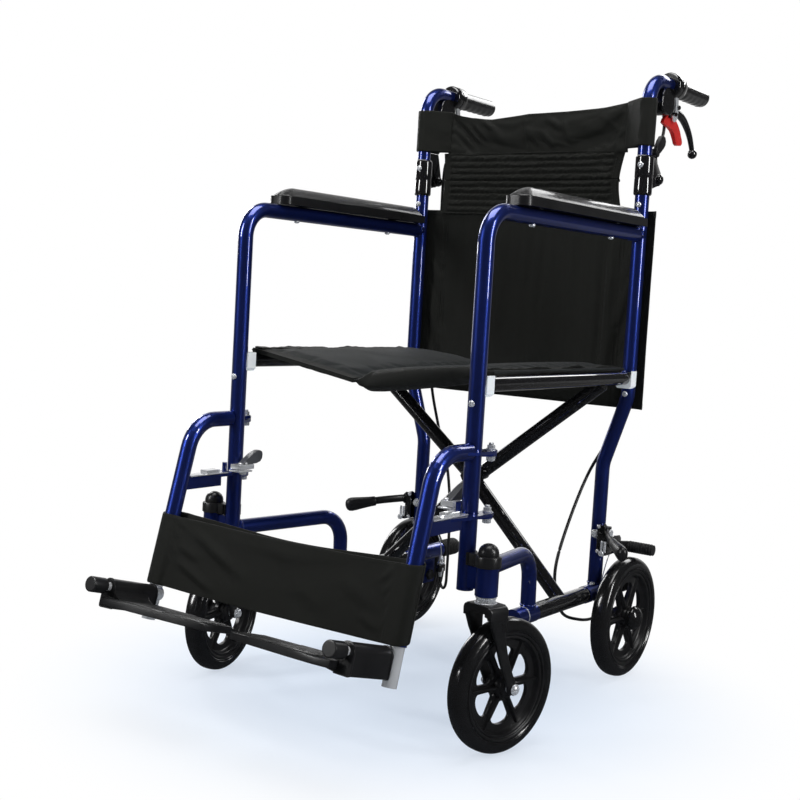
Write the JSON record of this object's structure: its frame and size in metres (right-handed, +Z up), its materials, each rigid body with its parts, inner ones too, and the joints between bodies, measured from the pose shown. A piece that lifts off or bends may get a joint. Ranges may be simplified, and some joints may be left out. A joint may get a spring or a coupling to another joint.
{
  "type": "manual wheelchair",
  "caption": "Folding attendant-pushed wheelchair with small solid-tyred wheels, swing-away footrests, hand brakes and a half-folding back.",
  "frame": {"origin": "floor level under the middle of the whole chair's box", "axes": "+Z up, the chair faces -Y, its left side is +X"},
  "size_m": [0.5584, 0.9, 0.954],
  "materials": {
    "frame_paint": "gloss metallic",
    "black_metal": "gloss",
    "black_plastic": "satin",
    "chrome": "polished",
    "rubber": "matte",
    "tyre": "satin",
    "pad": "grained, satin",
    "white_plastic": "satin",
    "red_plastic": "gloss",
    "cloth": "woven nylon"
  },
  "bodies": {
    "left_frame": {"left_front_tube": "frame_paint", "left_rear_tube": "frame_paint", "left_lower_tube": "frame_paint", "left_barrel_cap": "black_plastic", "left_armrest_pad": "pad", "left_rail_saddles": "white_plastic", "left_lock_bracket": "black_metal", "left_tipping_sleeve": "rubber", "left_brake_cable": "rubber", "left_back_hinge": "black_metal", "back_lower": "cloth", "calf_strap": "cloth"},
    "left_lock_lever": {"left_lock_lever": "black_plastic"},
    "left_brake_arm": {"left_brake_arm": "black_metal"},
    "left_fork": {"left_caster_fork": "black_metal"},
    "left_front_wheel": {"left_front_wheel": "black_plastic", "left_front_tyre": "tyre"},
    "left_rear_wheel": {"left_rear_wheel": "black_plastic", "left_rear_tyre": "tyre"},
    "left_footrest": {"left_hanger": "frame_paint", "left_slide_tube": "chrome"},
    "left_latch": {"left_hanger_latch": "chrome"},
    "left_rod": {"left_hinge_rod": "chrome"},
    "left_footplate": {"left_footplate": "black_plastic"},
    "left_back": {"left_back_post": "frame_paint", "left_back_fittings": "black_plastic", "back_upper": "cloth"},
    "left_release": {"left_back_release": "black_plastic"},
    "left_brake_lever": {"left_brake_lever": "black_plastic"},
    "left_lock_tab": {"left_lock_tab": "red_plastic"},
    "right_frame": {"right_front_tube": "frame_paint", "right_rear_tube": "frame_paint", "right_lower_tube": "frame_paint", "right_barrel_cap": "black_plastic", "right_armrest_pad": "pad", "right_rail_saddles": "white_plastic", "right_lock_bracket": "black_metal", "right_tipping_sleeve": "rubber", "right_brake_cable": "rubber", "right_back_hinge": "black_metal"},
    "right_lock_lever": {"right_lock_lever": "black_plastic"},
    "right_brake_arm": {"right_brake_arm": "black_metal"},
    "right_fork": {"right_caster_fork": "black_metal"},
    "right_front_wheel": {"right_front_wheel": "black_plastic", "right_front_tyre": "tyre"},
    "right_rear_wheel": {"right_rear_wheel": "black_plastic", "right_rear_tyre": "tyre"},
    "right_footrest": {"right_hanger": "frame_paint", "right_slide_tube": "chrome"},
    "right_latch": {"right_hanger_latch": "chrome"},
    "right_rod": {"right_hinge_rod": "chrome"},
    "right_footplate": {"right_footplate": "black_plastic"},
    "right_back": {"right_back_post": "frame_paint", "right_back_fittings": "black_plastic"},
    "right_release": {"right_back_release": "black_plastic"},
    "right_brake_lever": {"right_brake_lever": "black_plastic"},
    "right_lock_tab": {"right_lock_tab": "red_plastic"},
    "brace_a": {"brace_a": "black_metal", "seat_sling": "cloth"},
    "brace_b": {"brace_b": "black_metal"}
  },
  "joints": [
    {"name": "fold", "type": "hinge", "parent": "left_frame", "child": "brace_a", "pos_m": [0.175, 0.155, 0.135], "axis": [0, 1, 0], "range_deg": [0, 30.5], "deforming": ["seat_sling", "back_upper", "back_lower", "calf_strap"]},
    {"name": "fold_cross", "type": "hinge", "parent": "brace_a", "child": "brace_b", "pos_m": [0, 0.155, 0.307], "axis": [0, 1, 0], "range_deg": [-61, 0]},
    {"name": "fold_right", "type": "hinge", "parent": "brace_b", "child": "right_frame", "pos_m": [-0.175, 0.155, 0.135], "axis": [0, 1, 0], "range_deg": [0, 30.5]},
    {"name": "left_back_fold", "type": "hinge", "parent": "left_frame", "child": "left_back", "pos_m": [0.206, 0.295, 0.785], "axis": [-1, 0, 0], "range_deg": [0, 110], "deforming": ["left_brake_cable"]},
    {"name": "left_swivel", "type": "hinge", "parent": "left_frame", "child": "left_fork", "pos_m": [0.241, -0.184, 0.23], "axis": [0, 0, 1], "continuous": true},
    {"name": "left_front_spin", "type": "hinge", "parent": "left_fork", "child": "left_front_wheel", "pos_m": [0.2489, -0.14683, 0.089], "axis": [0.9781, -0.2079, 0], "continuous": true},
    {"name": "left_rear_spin", "type": "hinge", "parent": "left_frame", "child": "left_rear_wheel", "pos_m": [0.209, 0.291, 0.095], "axis": [1, 0, 0], "continuous": true},
    {"name": "left_footrest_swing", "type": "hinge", "parent": "left_frame", "child": "left_footrest", "pos_m": [0.215, -0.152, 0.35], "axis": [0, 0, 1], "range_deg": [0, 90], "deforming": ["calf_strap"]},
    {"name": "left_rod_turn", "type": "hinge", "parent": "left_footrest", "child": "left_rod", "pos_m": [0.2015, -0.3337, 0.155], "axis": [0, 0.9659, -0.2588], "range_deg": [0, 100]},
    {"name": "left_footplate_flip", "type": "hinge", "parent": "left_rod", "child": "left_footplate", "pos_m": [0.2015, -0.3337, 0.155], "axis": [0, -0.9659, 0.2588], "range_deg": [-90, 0]},
    {"name": "left_latch_press", "type": "hinge", "parent": "left_frame", "child": "left_latch", "pos_m": [0.188, -0.182, 0.317], "axis": [0, 0, 1], "range_deg": [0, 8], "stiffness_Nm_per_rad": 0.5},
    {"name": "left_brake_squeeze", "type": "hinge", "parent": "left_back", "child": "left_brake_lever", "pos_m": [0.206, 0.342, 0.902], "axis": [1, 0, 0], "range_deg": [0, 20], "stiffness_Nm_per_rad": 1},
    {"name": "left_lock_tab_turn", "type": "hinge", "parent": "left_back", "child": "left_lock_tab", "pos_m": [0.206, 0.332, 0.89], "axis": [1, 0, 0], "range_deg": [0, 15]},
    {"name": "left_release_press", "type": "hinge", "parent": "left_back", "child": "left_release", "pos_m": [0.206, 0.278, 0.822], "axis": [-1, 0, 0], "range_deg": [0, 12], "stiffness_Nm_per_rad": 0.5},
    {"name": "left_lock_push", "type": "hinge", "parent": "left_frame", "child": "left_lock_lever", "pos_m": [0.2, 0.244, 0.233], "axis": [1, 0, 0], "range_deg": [0, 40]},
    {"name": "left_brake_arm_turn", "type": "hinge", "parent": "left_frame", "child": "left_brake_arm", "pos_m": [0.2, 0.266, 0.214], "axis": [1, 0, 0], "range_deg": [-6, 0]},
    {"name": "right_back_fold", "type": "hinge", "parent": "right_frame", "child": "right_back", "pos_m": [-0.206, 0.295, 0.785], "axis": [-1, 0, 0], "range_deg": [0, 110], "deforming": ["right_brake_cable"]},
    {"name": "right_swivel", "type": "hinge", "parent": "right_frame", "child": "right_fork", "pos_m": [-0.241, -0.184, 0.23], "axis": [0, 0, 1], "continuous": true},
    {"name": "right_front_spin", "type": "hinge", "parent": "right_fork", "child": "right_front_wheel", "pos_m": [-0.2489, -0.14683, 0.089], "axis": [0.9781, 0.2079, 0], "continuous": true},
    {"name": "right_rear_spin", "type": "hinge", "parent": "right_frame", "child": "right_rear_wheel", "pos_m": [-0.209, 0.291, 0.095], "axis": [1, 0, 0], "continuous": true},
    {"name": "right_footrest_swing", "type": "hinge", "parent": "right_frame", "child": "right_footrest", "pos_m": [-0.215, -0.152, 0.35], "axis": [0, 0, -1], "range_deg": [0, 90], "deforming": ["calf_strap"]},
    {"name": "right_rod_turn", "type": "hinge", "parent": "right_footrest", "child": "right_rod", "pos_m": [-0.2015, -0.3337, 0.155], "axis": [0, -0.9659, 0.2588], "range_deg": [0, 100]},
    {"name": "right_footplate_flip", "type": "hinge", "parent": "right_rod", "child": "right_footplate", "pos_m": [-0.2015, -0.3337, 0.155], "axis": [0, 0.9659, -0.2588], "range_deg": [-90, 0]},
    {"name": "right_latch_press", "type": "hinge", "parent": "right_frame", "child": "right_latch", "pos_m": [-0.188, -0.182, 0.317], "axis": [0, 0, -1], "range_deg": [0, 8], "stiffness_Nm_per_rad": 0.5},
    {"name": "right_brake_squeeze", "type": "hinge", "parent": "right_back", "child": "right_brake_lever", "pos_m": [-0.206, 0.342, 0.902], "axis": [1, 0, 0], "range_deg": [0, 20], "stiffness_Nm_per_rad": 1},
    {"name": "right_lock_tab_turn", "type": "hinge", "parent": "right_back", "child": "right_lock_tab", "pos_m": [-0.206, 0.332, 0.89], "axis": [1, 0, 0], "range_deg": [0, 15]},
    {"name": "right_release_press", "type": "hinge", "parent": "right_back", "child": "right_release", "pos_m": [-0.206, 0.278, 0.822], "axis": [-1, 0, 0], "range_deg": [0, 12], "stiffness_Nm_per_rad": 0.5},
    {"name": "right_lock_push", "type": "hinge", "parent": "right_frame", "child": "right_lock_lever", "pos_m": [-0.2, 0.244, 0.233], "axis": [1, 0, 0], "range_deg": [0, 40]},
    {"name": "right_brake_arm_turn", "type": "hinge", "parent": "right_frame", "child": "right_brake_arm", "pos_m": [-0.2, 0.266, 0.214], "axis": [1, 0, 0], "range_deg": [-6, 0]}
  ],
  "couplings": [
    {"joint": "fold_cross", "follows": "fold", "ratio": -2},
    {"joint": "fold_right", "follows": "fold", "ratio": 1},
    {"joint": "left_rod_turn", "follows": "fold", "ratio": 3.2787},
    {"joint": "left_brake_arm_turn", "follows": "left_lock_push", "ratio": -0.15},
    {"joint": "right_rod_turn", "follows": "fold", "ratio": 3.2787},
    {"joint": "right_brake_arm_turn", "follows": "right_lock_push", "ratio": -0.15},
    {"joint": "right_back_fold", "follows": "left_back_fold", "ratio": 1}
  ]
}
